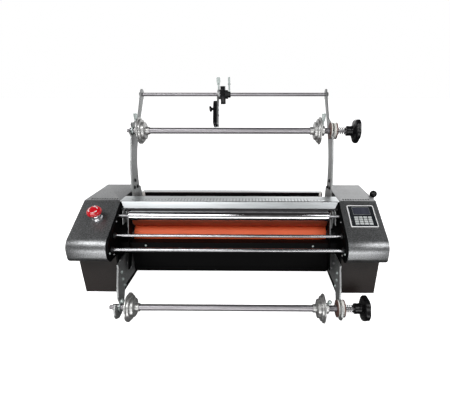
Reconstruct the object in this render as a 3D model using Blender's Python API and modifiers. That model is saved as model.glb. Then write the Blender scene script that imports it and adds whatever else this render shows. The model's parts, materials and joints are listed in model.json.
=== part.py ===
"""Desktop roll laminator: two silicone pressure rolls between side frames, with supply shafts on arms.

Metres, +X to the right across the rolls, +Y to the rear, +Z up. The origin is on the base plane,
which is Z = 0, at the middle of the footprint.
"""

from math import cos, pi, radians, sin, tan

import bmesh
import bpy
from mathutils import Matrix, Vector

# ---- driving dimensions ----
GAP = 0.0004  # between neighbouring solids
SHEET = 0.002  # sheet metal of the covers

FRAME_IN = 0.347  # inner face of a side frame plate
FRAME_OUT = 0.3527
COVER_IN = 0.3531  # side covers and base boxes lie outside the frames
COVER_OUT = 0.471

REAR_Y = 0.144
BASE_FRONT_Y = -0.143
COVER_TOP = 0.282
COVER_FLOOR = 0.139
FOLD_Y = -0.042  # where the covers' flat top turns down
SLOPE = radians(28.0)
NOSE_FRONT_Y = -0.200
NOSE_RADIUS = 0.042
CHIN_RADIUS = 0.018
CHIN_Z = 0.157

ROLL_FACE = 0.3165  # half the length of a silicone roll
ROLL_R = 0.0298
ROLL_Y = -0.035
NIP_Z = 0.194
ROLL_SPACING = 0.060
JOURNAL_R = 0.010
ROLL_LIFT = 0.003

IDLER_Y, IDLER_Z, IDLER_R = -0.084, 0.245, 0.0145
IDLER_FACE = 0.3125
IDLER_JOURNAL_R = 0.005
UPPER_ROD = (-0.140, 0.202, 0.005)  # y, z, radius
LOWER_ROD = (-0.172, 0.170, 0.006)

ARM_X = {"left": 0.3365, "right": 0.3420}
ARM_THICK = 0.005
SHAFT_R = 0.010
UPPER_SHAFT = (0.100, 0.483)  # y, z of a supply shaft
LOWER_SHAFT = (-0.216, -0.006)
RAIL = (0.252, 0.594)
RAIL_R = 0.006
CHUCK_NOSES = {"upper": (0.2755, 0.2670), "lower": (0.2720, 0.2600)}  # left and right, out from the middle
WASHER_R = 0.027
INNER_WASHERS = (0.3325, 0.3390)  # either side of the right arm
OUTER_WASHERS = (0.3450, 0.3560)
KNOB_HUB = (0.390, 0.413)
KNOB_HEAD = (0.411, 0.432)
HINGE = (0.004, 0.2805)  # y, z of the top cover's hinge
LEVER_PIVOT = (0.025, 0.185)
LEVER_BALL = (0.484, 0.025, 0.285)

GEAR_MODULE = 0.003
GEAR_TEETH = 20
PINION_TEETH = 12
GEAR_X = (-0.384, -0.372)
MOTOR_ANGLE = radians(20.0)  # from the lower roll to the pinion, above horizontal

KEY_ROWS = KEY_COLUMNS = 4
KEY_SIZE = (0.0110, 0.0062, 0.0020)
KEY_PITCH = (0.0139, 0.0085)
PANEL_X = 0.4125
PANEL_DOWN = 0.0655  # down the slope from the fold
PANEL_SIZE = (0.081, 0.086, 0.003)
ESTOP_X = -0.404
ESTOP_DOWN = 0.075

# ---- materials: colour, roughness, metallic ----
FINISHES = {
    "cover_paint": ((0.07, 0.073, 0.075, 1), 0.45, 0.4),
    "black_paint": ((0.012, 0.012, 0.013, 1), 0.35, 0.2),
    "base_paint": ((0.035, 0.028, 0.025, 1), 0.6, 0.1),
    "arm_steel": ((0.23, 0.24, 0.24, 1), 0.45, 0.8),
    "cover_aluminium": ((0.72, 0.75, 0.76, 1), 0.35, 0.7),
    "chrome": ((0.8, 0.8, 0.8, 1), 0.08, 1.0),
    "silicone": ((0.8, 0.13, 0.045, 1), 0.5, 0.0),
    "steel_shaft": ((0.45, 0.45, 0.46, 1), 0.3, 1.0),
    "cast_aluminium": ((0.55, 0.55, 0.53, 1), 0.4, 0.9),
    "gear_steel": ((0.35, 0.35, 0.36, 1), 0.4, 1.0),
    "black_plastic": ((0.01, 0.01, 0.011, 1), 0.4, 0.0),
    "white_plastic": ((0.85, 0.85, 0.82, 1), 0.5, 0.0),
    "red_plastic": ((0.7, 0.01, 0.02, 1), 0.3, 0.0),
    "key_plastic": ((0.7, 0.72, 0.72, 1), 0.4, 0.0),
}


def clear_scene():
    for old in list(bpy.data.objects):
        bpy.data.objects.remove(old, do_unlink=True)


def new_collection(name):
    collection = bpy.data.collections.new(name)
    bpy.context.scene.collection.children.link(collection)
    return collection


def make_materials():
    made = {}
    for name, (colour, roughness, metallic) in FINISHES.items():
        material = bpy.data.materials.new(name)
        material.use_nodes = True
        shader = material.node_tree.nodes["Principled BSDF"]
        shader.inputs["Base Color"].default_value = colour
        shader.inputs["Roughness"].default_value = roughness
        shader.inputs["Metallic"].default_value = metallic
        made[name] = material
    return made


clear_scene()
PARTS = new_collection("cold_roll_laminator")
CUTTERS = new_collection("cutters")
MATERIALS = make_materials()

# Local x, y, z of an outline become world Y, Z, X.
SIDE_VIEW = Matrix(((0, 0, 1, 0), (1, 0, 0, 0), (0, 1, 0, 0), (0, 0, 0, 1)))
# A turned piece's local Z becomes world X.
ALONG_X = Matrix(((0, 0, 1, 0), (0, 1, 0, 0), (-1, 0, 0, 0), (0, 0, 0, 1)))
# Local Z stands off the covers' slope.
ON_SLOPE = Matrix.Rotation(SLOPE, 4, "X")


# ---- tools ----
def add(name, mesh, finish, place=Matrix.Identity(4), cutter=False):
    piece = bpy.data.objects.new(name, mesh)
    piece.matrix_world = place
    (CUTTERS if cutter else PARTS).objects.link(piece)
    if cutter:
        piece.hide_render = True
        piece.display_type = "WIRE"
    else:
        mesh.materials.append(MATERIALS[finish])
    return piece


def mesh_of(build):
    shape = bmesh.new()
    build(shape)
    mesh = bpy.data.meshes.new("shape")
    shape.to_mesh(mesh)
    shape.free()
    return mesh


def box(name, low, high, finish=None, place=Matrix.Identity(4), bevel=0.0):
    """A block between two corners, measured in place's axes; a cutter if it has no finish."""
    low, high = Vector(low), Vector(high)
    size = Matrix.Diagonal((high - low).to_4d())
    size[3][3] = 1.0

    def build(shape):
        bmesh.ops.create_cube(shape, size=1.0, matrix=Matrix.Translation((low + high) / 2) @ size)

    piece = add(name, mesh_of(build), finish, place, cutter=finish is None)
    if bevel:
        rounding = piece.modifiers.new("rounding", "BEVEL")
        rounding.width = bevel
        rounding.segments = 2
    return piece


def rod(name, x0, x1, y, z, radius, finish=None, sides=24):
    """A round bar along X, its origin on its axis; a cutter if it has no finish."""

    def build(shape):
        bmesh.ops.create_cone(
            shape, cap_ends=True, segments=sides, radius1=radius, radius2=radius, depth=abs(x1 - x0)
        )

    place = Matrix.Translation(((x0 + x1) / 2, y, z)) @ ALONG_X
    piece = add(name, mesh_of(build), finish, place, cutter=finish is None)
    piece.data.shade_smooth()
    piece.data.set_sharp_from_angle(angle=radians(35))
    return piece


def turned(name, profile, finish, place, steps=24, ring=False):
    """A profile of (radius, height) points turned about local Z, top to bottom; a ring closes on itself."""
    mesh = bpy.data.meshes.new(name)
    count = len(profile)
    edges = [(i, i + 1) for i in range(count - 1)]
    if ring:
        edges.append((count - 1, 0))
    mesh.from_pydata([(radius, 0, height) for radius, height in profile], edges, [])
    piece = add(name, mesh, finish, place)
    screw = piece.modifiers.new("turn", "SCREW")
    screw.steps = screw.render_steps = steps
    screw.use_merge_vertices = True
    screw.merge_threshold = 0.00001
    screw.use_smooth_shade = True
    return piece


def outline_plate(name, rings, x0, x1, finish=None, place=SIDE_VIEW):
    """A flat plate: the first ring of (y, z) points is its edge, and each further ring is a hole."""
    curve = bpy.data.curves.new(name, "CURVE")
    curve.dimensions = "2D"
    curve.fill_mode = "BOTH"
    curve.extrude = abs(x1 - x0) / 2
    for ring in rings:
        spline = curve.splines.new("POLY")
        spline.points.add(len(ring) - 1)
        spline.use_cyclic_u = True
        for point, (across, up) in zip(spline.points, ring):
            point.co = (across, up, 0, 1)
    flat = bpy.data.objects.new(name + "_outline", curve)
    PARTS.objects.link(flat)
    flat.matrix_world = place @ Matrix.Translation((0, 0, (x0 + x1) / 2))
    bpy.context.view_layer.update()
    evaluated = flat.evaluated_get(bpy.context.evaluated_depsgraph_get())
    mesh = bpy.data.meshes.new_from_object(evaluated)
    shape = bmesh.new()
    shape.from_mesh(mesh)
    bmesh.ops.remove_doubles(shape, verts=shape.verts, dist=0.00001)
    shape.to_mesh(mesh)
    shape.free()
    mesh.materials.clear()
    piece = add(name, mesh, finish, flat.matrix_world.copy(), cutter=finish is None)
    bpy.data.objects.remove(flat, do_unlink=True)
    bpy.data.curves.remove(curve)
    return piece


def combine(piece, other, operation):
    """Cut or join a piece with another, which becomes a hidden cutter."""
    if other.name in PARTS.objects:
        PARTS.objects.unlink(other)
        CUTTERS.objects.link(other)
    other.hide_render = True
    other.display_type = "WIRE"
    step = piece.modifiers.new(operation.lower(), "BOOLEAN")
    step.operation = operation
    step.object = other


def circle(y, z, radius, sides=16):
    return [
        (y + radius * cos(2 * pi * i / sides), z + radius * sin(2 * pi * i / sides))
        for i in range(sides)
    ]


def arc(y, z, radius, start, end, steps):
    """Points on an arc, its angles in degrees from +Y towards +Z."""
    angles = [radians(start + (end - start) * i / steps) for i in range(steps + 1)]
    return [(y + radius * cos(a), z + radius * sin(a)) for a in angles]


def slope_point(x, down, height=0.0):
    """A place on the covers' slope: down from the fold, and height off the surface."""
    return Matrix.Translation(
        (
            x,
            FOLD_Y - down * cos(SLOPE) - height * sin(SLOPE),
            COVER_TOP - down * sin(SLOPE) + height * cos(SLOPE),
        )
    )


def mirrored(side, x0, x1):
    return (x0, x1) if side > 0 else (-x1, -x0)


SIDES = (("left", -1), ("right", 1))


# ---- chassis ----
def nose_outline(inset):
    """From the rear top corner over the fold and round the nose, inset by a wall."""
    nose_y = NOSE_FRONT_Y + NOSE_RADIUS
    nose_z = COVER_TOP - (FOLD_Y - nose_y) * tan(SLOPE) - NOSE_RADIUS / cos(SLOPE)
    lean = 90 + 28
    return (
        [(REAR_Y - inset, COVER_TOP - inset), (FOLD_Y + inset * tan(SLOPE / 2), COVER_TOP - inset)]
        + arc(nose_y, nose_z, NOSE_RADIUS - inset, lean, 180, 5)
        + arc(NOSE_FRONT_Y + CHIN_RADIUS, CHIN_Z, CHIN_RADIUS - inset, 180, 270, 4)
    )


def cover_edge():
    return [(REAR_Y, COVER_FLOOR)] + nose_outline(0.0)


def cover_hollow():
    """The inside of a cover: it has a floor under the nose only, and opens into the base box behind."""
    below = COVER_FLOOR - 0.01
    step_y = BASE_FRONT_Y + SHEET
    return (
        [(REAR_Y - SHEET, below)]
        + nose_outline(SHEET)
        + [(step_y, COVER_FLOOR + SHEET), (step_y, below)]
    )


def make_side_frames():
    below_cover_top = 0.0033
    edge = (
        [(REAR_Y - GAP, 0.0)]
        + nose_outline(below_cover_top)[:8]
        + [(NOSE_FRONT_Y + 0.010, COVER_FLOOR), (BASE_FRONT_Y + GAP, COVER_FLOOR)]
        + [(BASE_FRONT_Y + GAP, 0.0)]
    )
    slot_r = JOURNAL_R + 0.0008
    upper_z = NIP_Z + ROLL_SPACING / 2
    slot = arc(ROLL_Y, upper_z + ROLL_LIFT, slot_r, 0, 180, 8) + arc(ROLL_Y, upper_z, slot_r, 180, 360, 8)
    holes = [
        slot,
        circle(ROLL_Y, NIP_Z - ROLL_SPACING / 2, slot_r),
        circle(IDLER_Y, IDLER_Z, IDLER_JOURNAL_R + 0.0008),
    ]
    for word, side in SIDES:
        outline_plate(
            f"side_frame_{word}", [edge] + holes, *mirrored(side, FRAME_IN, FRAME_OUT), "black_paint"
        )


def make_side_covers():
    for word, side in SIDES:
        cover = outline_plate(
            f"side_cover_{word}", [cover_edge()], *mirrored(side, COVER_IN, COVER_OUT), "cover_paint"
        )
        inside = outline_plate(
            f"side_cover_inside_{word}",
            [cover_hollow()],
            *mirrored(side, COVER_IN - 0.01, COVER_OUT - SHEET),
        )
        combine(cover, inside, "DIFFERENCE")
        if side > 0:
            hole = rod("lever_hole", COVER_OUT - 0.01, COVER_OUT + 0.01, *LEVER_PIVOT, 0.0088)
            combine(cover, hole, "DIFFERENCE")


def make_base_boxes():
    top = COVER_FLOOR - GAP
    for word, side in SIDES:
        x0, x1 = mirrored(side, COVER_IN, COVER_OUT)
        body = box(f"base_box_{word}", (x0, BASE_FRONT_Y, 0), (x1, REAR_Y, top), "base_paint")
        x0, x1 = mirrored(side, COVER_IN - 0.01, COVER_OUT - SHEET)
        low = (x0, BASE_FRONT_Y + SHEET, SHEET)
        hollow = box(f"base_box_inside_{word}", low, (x1, REAR_Y - SHEET, top + 0.01))
        combine(body, hollow, "DIFFERENCE")


def make_cross_members():
    reach = FRAME_IN - GAP
    beam = box("front_beam", (-reach, -0.104, 0.124), (reach, -0.074, 0.161), "black_paint")
    sloping_plate = [(-0.0735, 0.2545), (-0.143, 0.084), (-0.120, 0.084)]
    sloping_plate += [(-0.0745, 0.150), (-0.0745, 0.176), (-0.062, 0.200), (-0.050, 0.2545)]
    for word, side in SIDES:
        plate = outline_plate(f"roll_end_plate_{word}", [sloping_plate], *mirrored(side, 0.318, 0.321))
        combine(beam, plate, "UNION")
    box("front_panel", (-0.3275, -0.0736, 0.039), (0.3275, -0.0716, 0.158), "black_paint")
    box("guide_bar", (-reach, -0.060, 0.255), (reach, -0.050, 0.261), "arm_steel", bevel=0.001)
    for name, (y, z, radius) in (("front_rod_upper", UPPER_ROD), ("front_rod_lower", LOWER_ROD)):
        rod(name, -reach, reach, y, z, radius, "chrome", sides=20)

    rear = 0.100
    tie_front = -0.004
    bent = [
        (tie_front, 0.0),
        (rear, 0.0),
        (rear, 0.162),
        (rear - SHEET, 0.162),
        (rear - SHEET, 0.003),
        (tie_front, 0.003),
    ]
    outline_plate("rear_panel", [bent], -reach, reach, "black_paint")

    bar_top = 0.274
    angle = [
        (0.076, bar_top),
        (0.076, bar_top - SHEET),
        (0.098, bar_top - SHEET),
        (0.098, 0.232),
        (0.100, 0.232),
        (0.100, bar_top),
    ]
    outline_plate("rear_top_bar", [angle], -0.3225, 0.3225, "cover_aluminium")


def make_top_cover():
    """Flat strip over the rolls with a lip bent down at its front; the lip's ends are mitred."""
    front, back = -0.051, HINGE[0] - 0.001
    half_width = FRAME_OUT - 0.0002
    low, high = (-half_width, front, COVER_TOP - SHEET), (half_width, back, COVER_TOP)
    cover = box("top_cover", low, high, "cover_aluminium")
    lip_foot_y = front - 0.007
    lip = [
        (front, COVER_TOP),
        (front, COVER_TOP - 0.003),
        (lip_foot_y, COVER_TOP - 0.020),
        (lip_foot_y - SHEET, COVER_TOP - 0.020),
        (front - SHEET, COVER_TOP - 0.001),
    ]
    lip_half = FRAME_IN - 0.0008
    strip = outline_plate("top_cover_lip", [lip], -lip_half, lip_half)
    for side in (-1, 1):
        corner = [
            (side * 0.336, COVER_TOP - 0.024),
            (side * 0.360, COVER_TOP - 0.024),
            (side * 0.360, COVER_TOP + 0.006),
            (side * 0.350, COVER_TOP + 0.006),
        ]
        front_view = Matrix(((1, 0, 0, 0), (0, 0, -1, 0), (0, 1, 0, 0), (0, 0, 0, 1)))
        mitre = outline_plate(f"mitre_{side}", [corner], 0.049, 0.075, place=front_view)
        combine(strip, mitre, "DIFFERENCE")
    knuckle = rod("cover_knuckle", -0.300, 0.300, *HINGE, 0.0022, sides=12)
    combine(cover, strip, "UNION")
    combine(cover, knuckle, "UNION")


# ---- arms that carry the film shafts ----
def notch(y, z, lean, rear_wall, front_wall):
    """A U-shaped notch round a shaft, from the rear wall's top down and up to the front wall's top."""
    radius = SHAFT_R + 0.0006
    opening = (cos(radians(lean)), sin(radians(lean)))
    bottom = arc(y, z, radius, lean - 90, lean - 270, 8)
    rear_top = (bottom[0][0] + rear_wall * opening[0], bottom[0][1] + rear_wall * opening[1])
    front_top = (bottom[-1][0] + front_wall * opening[0], bottom[-1][1] + front_wall * opening[1])
    return [rear_top] + bottom + [front_top]


def upper_arm_edge():
    y, z = UPPER_SHAFT
    rail_y, rail_z = RAIL
    tip = arc(rail_y + 0.005, rail_z + 0.005, 0.014, 137, -43, 6)
    return (
        [(0.026, 0.222), (0.026, 0.312), (0.050, 0.392), (0.082, 0.468), (0.076, 0.482)]
        + list(reversed(notch(y, z, 120, 0.016, 0.012)))
        + [(0.110, 0.509), (0.124, 0.506)]
        + [(0.172, 0.516), (0.192, 0.540)]
        + tip
        + [(0.222, 0.540), (0.184, 0.500), (0.150, 0.460), (0.121, 0.415), (0.102, 0.370), (0.093, 0.312)]
        + [(0.094, 0.288), (0.110, 0.271), (0.110, 0.222)]
    )


def lower_arm_edge():
    y, z = LOWER_SHAFT
    return (
        [(-0.178, 0.120), (-0.178, 0.109), (-0.193, 0.080), (-0.206, 0.052)]
        + notch(y, z, 105, 0.030, 0.024)
        + [(-0.239, 0.020), (-0.250, 0.007), (-0.254, -0.010), (-0.248, -0.026), (-0.232, -0.035)]
        + [(-0.210, -0.034), (-0.188, -0.022), (-0.174, -0.002), (-0.161, 0.020), (-0.153, 0.034)]
        + [(-0.047, 0.030), (-0.047, 0.120)]
    )


def make_arms():
    upper_holes = [circle(*RAIL, RAIL_R + 0.0005, 12), circle(0.084, 0.330, 0.004, 8)]
    for word, side in SIDES:
        inner, outer = ARM_X[word] - ARM_THICK / 2, ARM_X[word] + ARM_THICK / 2
        plate = outline_plate(
            f"upper_arm_{word}", [upper_arm_edge()] + upper_holes, *mirrored(side, inner, outer), "arm_steel"
        )
        x0, x1 = mirrored(side, outer - 0.001, FRAME_IN - GAP)
        foot = box(f"upper_foot_{word}", (x0, 0.034, 0.224), (x1, 0.095, 0.268))
        combine(plate, foot, "UNION")
        plate = outline_plate(
            f"lower_arm_{word}", [lower_arm_edge()], *mirrored(side, inner, outer), "arm_steel"
        )
        foot = box(f"lower_foot_{word}", (x0, -0.138, 0.050), (x1, -0.060, 0.116))
        combine(plate, foot, "UNION")
    beyond_arm = ARM_THICK / 2 + 0.004
    rail_ends = -ARM_X["left"] - beyond_arm, ARM_X["right"] + beyond_arm
    rod("slitter_rail", *rail_ends, *RAIL, RAIL_R, "steel_shaft", 20)


# ---- rolls and drive ----
def roll_profile(face_half, face_r, left_end, right_end, journal_r):
    return [
        (0, right_end),
        (journal_r, right_end),
        (journal_r, face_half),
        (face_r, face_half),
        (face_r, -face_half),
        (journal_r, -face_half),
        (journal_r, left_end),
        (0, left_end),
    ]


def on_axis(y, z):
    return Matrix.Translation((0, y, z)) @ ALONG_X


def make_rolls():
    profile = roll_profile(ROLL_FACE, ROLL_R, -0.388, 0.362, JOURNAL_R)
    turned("upper_roller", profile, "silicone", on_axis(ROLL_Y, NIP_Z + ROLL_SPACING / 2), steps=32)
    turned("lower_roller", profile, "silicone", on_axis(ROLL_Y, NIP_Z - ROLL_SPACING / 2), steps=32)
    idler = roll_profile(IDLER_FACE, IDLER_R, -0.3535, 0.3535, IDLER_JOURNAL_R)
    turned("chrome_idler", idler, "chrome", on_axis(IDLER_Y, IDLER_Z), steps=28)


def gear_outline(y, z, teeth, turn):
    """Tooth edges of a spur gear in side view, its first tooth centred at the angle turn."""
    pitch_r = GEAR_MODULE * teeth / 2
    tip_r, root_r = pitch_r + 0.85 * GEAR_MODULE, pitch_r - 1.15 * GEAR_MODULE
    step = 2 * pi / teeth
    points = []
    for tooth in range(teeth):
        middle = turn + tooth * step
        for radius, offset in ((root_r, -0.36), (tip_r, -0.12), (tip_r, 0.12), (root_r, 0.36)):
            angle = middle + offset * step
            points.append((y + radius * cos(angle), z + radius * sin(angle)))
    return points


def make_gears():
    lower = (ROLL_Y, NIP_Z - ROLL_SPACING / 2)
    upper = (ROLL_Y, NIP_Z + ROLL_SPACING / 2)
    reach = GEAR_MODULE * (GEAR_TEETH + PINION_TEETH) / 2
    pinion = (lower[0] + reach * cos(MOTOR_ANGLE), lower[1] + reach * sin(MOTOR_ANGLE))
    bore = JOURNAL_R + GAP
    half_tooth = pi / GEAR_TEETH

    # A tooth of the lower gear points at the pinion, so the pinion shows a gap towards it.
    lower_turn = MOTOR_ANGLE
    pinion_turn = MOTOR_ANGLE + pi + pi / PINION_TEETH
    # The upper gear shows a gap, or a tooth, wherever the lower gear's top has a tooth, or a gap.
    upper_turn = -lower_turn + half_tooth
    for name, centre, teeth, turn, hole in (
        ("lower_roller_gear", lower, GEAR_TEETH, lower_turn, bore),
        ("upper_roller_gear", upper, GEAR_TEETH, upper_turn, bore),
        ("motor_pinion", pinion, PINION_TEETH, pinion_turn, 0.005 + GAP),
    ):
        rings = [gear_outline(*centre, teeth, turn), circle(*centre, hole)]
        gear = outline_plate(name, rings, *GEAR_X, "gear_steel")
        gear.data.transform(Matrix.Translation((-centre[0], -centre[1], 0)))
        gear.matrix_world = gear.matrix_world @ Matrix.Translation((centre[0], centre[1], 0))

    face = GEAR_X[0] - 0.004
    motor = rod("drive_motor", face - 0.070, face, *pinion, 0.027, "black_paint", sides=28)
    combine(motor, rod("motor_shaft", face - 0.01, GEAR_X[1] + 0.003, *pinion, 0.005, sides=12), "UNION")
    bracket = box(
        "motor_bracket",
        (face - 0.004, pinion[0] - 0.030, pinion[1] - 0.034),
        (face + 0.0005, pinion[0] + 0.048, pinion[1] + 0.048),
    )
    combine(motor, bracket, "UNION")
    for index, (across, up) in enumerate(((0.040, 0.022), (0.040, -0.026), (0.012, 0.040))):
        middle = (pinion[0] + across, pinion[1] + up)
        post = rod(f"motor_post_{index}", face, -COVER_IN - GAP, *middle, 0.005, sides=12)
        combine(motor, post, "UNION")


def make_pressure_gear():
    """Blocks that carry the upper roll, and the lever outside the right cover that lifts them."""
    top, low = 0.251, NIP_Z + 0.003
    front, back, corner = -0.066, 0.003, 0.006
    edge = [(front, low), (back, low), (back, top - corner)]
    edge += [(back - corner, top), (front + corner, top), (front, top - corner)]
    hole = circle(ROLL_Y, NIP_Z + ROLL_SPACING / 2, JOURNAL_R + GAP, 24)
    for word, side in SIDES:
        outline_plate(f"pressure_block_{word}", [edge, hole], *mirrored(side, 0.3285, 0.3335), "arm_steel")

    y, z = LEVER_PIVOT
    lever = rod("pressure_lever", COVER_OUT + GAP, COVER_OUT + 0.014, y, z, 0.015, "black_plastic", sides=20)
    inner = rod("lever_shaft", FRAME_OUT + 0.002, COVER_OUT + 0.010, y, z, 0.008, sides=16)
    bar = box("lever_bar", (COVER_OUT + 0.004, y - 0.005, z), (COVER_OUT + 0.012, y + 0.005, LEVER_BALL[2]))

    def build(shape):
        bmesh.ops.create_uvsphere(shape, u_segments=16, v_segments=10, radius=0.012)

    ball = add("lever_ball", mesh_of(build), None, Matrix.Translation(LEVER_BALL), cutter=True)
    for other in (inner, bar, ball):
        combine(lever, other, "UNION")


# ---- supply shafts ----
def chuck_profile(side, nose):
    """A stepped core chuck in three core sizes with a lip and a hub, bored for the shaft."""
    bore = SHAFT_R + GAP
    steps = [
        (bore, 0.0),
        (0.0127, 0.0),
        (0.0127, 0.0120),
        (0.0286, 0.0130),
        (0.0286, 0.0215),
        (0.0380, 0.0225),
        (0.0380, 0.0285),
        (0.0450, 0.0295),
        (0.0450, 0.0345),
        (0.0165, 0.0365),
        (0.0165, 0.0480),
        (bore, 0.0480),
    ]
    outward = [(radius, nose + height) for radius, height in steps]
    if side < 0:
        return [(radius, -height) for radius, height in outward]
    return list(reversed(outward))


def knob_outline(y, z):
    """Five round lobes on a disc."""
    lobes, steps = 5, 45
    points = []
    for i in range(steps):
        angle = 2 * pi * i / steps
        radius = 0.0365 + 0.0045 * cos(lobes * angle)
        points.append((y + radius * cos(angle), z + radius * sin(angle)))
    return points


def washer_stack(ends, bore):
    near, far = ends
    return [(WASHER_R, far), (WASHER_R, near), (bore, near), (bore, far)]


def make_supply(word, y, z, left_end):
    """One supply shaft with its two core chucks, brake washers and brake knob."""
    right_end = KNOB_HEAD[1] - 0.002
    shaft = [
        (0, right_end),
        (SHAFT_R, right_end),
        (SHAFT_R, INNER_WASHERS[1]),
        (WASHER_R, INNER_WASHERS[1]),
        (WASHER_R, INNER_WASHERS[0]),
        (SHAFT_R, INNER_WASHERS[0]),
        (SHAFT_R, left_end + 0.010),
        (0.006, left_end + 0.010),
        (0.006, left_end),
        (0, left_end),
    ]
    turned(f"{word}_shaft", shaft, "steel_shaft", on_axis(y, z), steps=20)
    for (hand, side), nose in zip(SIDES, CHUCK_NOSES[word]):
        profile = chuck_profile(side, nose)
        turned(f"{word}_chuck_{hand}", profile, "cast_aluminium", on_axis(y, z), ring=True)
    bore = SHAFT_R + GAP
    disc = washer_stack(OUTER_WASHERS, bore)
    turned(f"{word}_brake_disc", disc, "white_plastic", on_axis(y, z), ring=True)
    hub = [(0.016, KNOB_HUB[1]), (0.016, KNOB_HUB[0]), (bore, KNOB_HUB[0]), (bore, KNOB_HUB[1])]
    knob = turned(f"{word}_knob", hub, "black_plastic", on_axis(y, z), ring=True)
    head = outline_plate(f"{word}_knob_head", [knob_outline(y, z), circle(y, z, bore, 24)], *KNOB_HEAD)
    combine(knob, head, "UNION")


def make_slitter():
    """Clamp that slides on the rail, and an arm that swings its blade down to the upper shaft."""
    y, z = RAIL
    shaft_y, shaft_z = UPPER_SHAFT
    depth, below, above = 0.014, 0.034, 0.029
    clamp_edge = [(y - depth, z - below), (y + depth, z - below)]
    clamp_edge += [(y + depth, z + above), (y - depth, z + above)]
    bore = circle(y, z, RAIL_R + GAP)
    block = outline_plate("slitter_clamp", [clamp_edge, bore], -0.0450, -0.0270, "black_plastic")
    wheel = outline_plate("clamp_wheel", [circle(y, z, 0.0155, 20), bore], -0.0275, -0.0075)
    combine(block, wheel, "UNION")

    down = (Vector((shaft_y, shaft_z)) - Vector((y, z))).normalized()
    across = Vector((-down.y, down.x))
    length = (Vector((shaft_y, shaft_z)) - Vector((y, z))).length - SHAFT_R - 0.002

    def at(along, off):
        point = Vector((y, z)) + down * along + across * off
        return (point.x, point.y)

    ring = arc(y, z, 0.017, 0, 360, 20)[:-1]
    collar = outline_plate("slitter_arm", [ring, circle(y, z, RAIL_R + GAP)], -0.0560, -0.0455, "arm_steel")
    near_rail = 0.010
    bar_edge = [at(near_rail, 0.009), at(near_rail, -0.009), at(0.100, -0.008), at(length - 0.012, -0.008)]
    bar_edge += [at(length, -0.002), at(length, 0.001), at(length - 0.012, 0.009), at(0.100, 0.008)]
    combine(collar, outline_plate("slitter_bar", [bar_edge], -0.0545, -0.0498), "UNION")
    top, low = 0.038, length - 0.012
    holder_edge = [at(top, -0.004), at(top + 0.020, -0.012), at(low, -0.012), at(low, 0.010), at(top, 0.010)]
    combine(collar, outline_plate("blade_holder", [holder_edge], -0.0675, -0.0540), "UNION")


# ---- controls ----
def make_controls():
    wide, long, thick = PANEL_SIZE
    seat = slope_point(PANEL_X, PANEL_DOWN, GAP) @ ON_SLOPE
    low, high = (-wide / 2, -long / 2, 0), (wide / 2, long / 2, thick)
    panel = box("control_panel", low, high, "black_plastic", seat)
    keys_middle = -0.0190
    block = (KEY_PITCH[0] * KEY_COLUMNS / 2, KEY_PITCH[1] * KEY_ROWS / 2)
    recess_floor = 0.0014
    low, high = (-block[0], keys_middle - block[1], recess_floor), (block[0], keys_middle + block[1], 0.01)
    combine(panel, box("key_recess", low, high, None, seat), "DIFFERENCE")

    wide, long, thick = KEY_SIZE
    for row in range(KEY_ROWS):
        for column in range(KEY_COLUMNS):
            across = (column - (KEY_COLUMNS - 1) / 2) * KEY_PITCH[0]
            along = keys_middle + ((KEY_ROWS - 1) / 2 - row) * KEY_PITCH[1]
            place = seat @ Matrix.Translation((across, along, recess_floor + 0.0009))
            low, high = (-wide / 2, -long / 2, 0), (wide / 2, long / 2, thick)
            box(f"key_{row + 1}_{column + 1}", low, high, "key_plastic", place)

    seat = slope_point(ESTOP_X, ESTOP_DOWN, GAP) @ ON_SLOPE
    collar = [(0, 0.017), (0.0120, 0.017), (0.0130, 0.008), (0.0150, 0.006), (0.0150, 0), (0, 0)]
    turned("estop_collar", collar, "cover_aluminium", seat)
    head = [(0, 0.0390), (0.012, 0.0380), (0.0190, 0.0350), (0.0220, 0.0305), (0.0220, 0.0265)]
    head += [(0.0195, 0.0245), (0.0105, 0.0238), (0.0100, 0.0217), (0, 0.0217)]
    turned("estop_button", head, "red_plastic", seat)


make_side_frames()
make_side_covers()
make_base_boxes()
make_cross_members()
make_top_cover()
make_arms()
make_rolls()
make_gears()
make_pressure_gear()
make_supply("upper", *UPPER_SHAFT, -0.352)
make_supply("lower", *LOWER_SHAFT, -0.365)
make_slitter()
make_controls()
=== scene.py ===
"""Looks of the roll laminator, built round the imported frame. Metres; +X right, +Y rear, +Z up."""

import json
from math import cos, pi, radians, sin, tan

import bmesh
import bpy
from mathutils import Matrix, Vector


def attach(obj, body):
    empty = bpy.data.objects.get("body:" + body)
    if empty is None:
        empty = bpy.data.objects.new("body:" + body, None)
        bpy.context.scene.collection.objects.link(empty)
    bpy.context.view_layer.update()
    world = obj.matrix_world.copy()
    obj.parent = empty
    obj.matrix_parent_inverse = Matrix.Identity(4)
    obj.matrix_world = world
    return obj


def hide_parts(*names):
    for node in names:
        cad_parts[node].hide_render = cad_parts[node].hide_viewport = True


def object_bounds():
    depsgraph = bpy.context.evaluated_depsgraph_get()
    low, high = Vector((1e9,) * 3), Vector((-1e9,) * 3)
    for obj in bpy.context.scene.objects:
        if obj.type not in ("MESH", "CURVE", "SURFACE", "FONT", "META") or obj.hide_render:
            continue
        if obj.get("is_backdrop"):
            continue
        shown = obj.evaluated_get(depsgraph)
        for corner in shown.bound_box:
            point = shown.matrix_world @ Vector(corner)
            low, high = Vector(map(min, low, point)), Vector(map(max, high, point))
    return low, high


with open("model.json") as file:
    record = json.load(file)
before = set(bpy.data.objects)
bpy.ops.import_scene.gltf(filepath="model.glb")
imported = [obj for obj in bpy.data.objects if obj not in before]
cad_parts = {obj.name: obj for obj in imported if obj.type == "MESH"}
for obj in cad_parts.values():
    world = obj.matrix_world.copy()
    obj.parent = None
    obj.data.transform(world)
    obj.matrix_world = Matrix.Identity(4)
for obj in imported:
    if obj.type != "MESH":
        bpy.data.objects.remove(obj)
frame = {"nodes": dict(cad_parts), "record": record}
CAD_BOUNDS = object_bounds()
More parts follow.
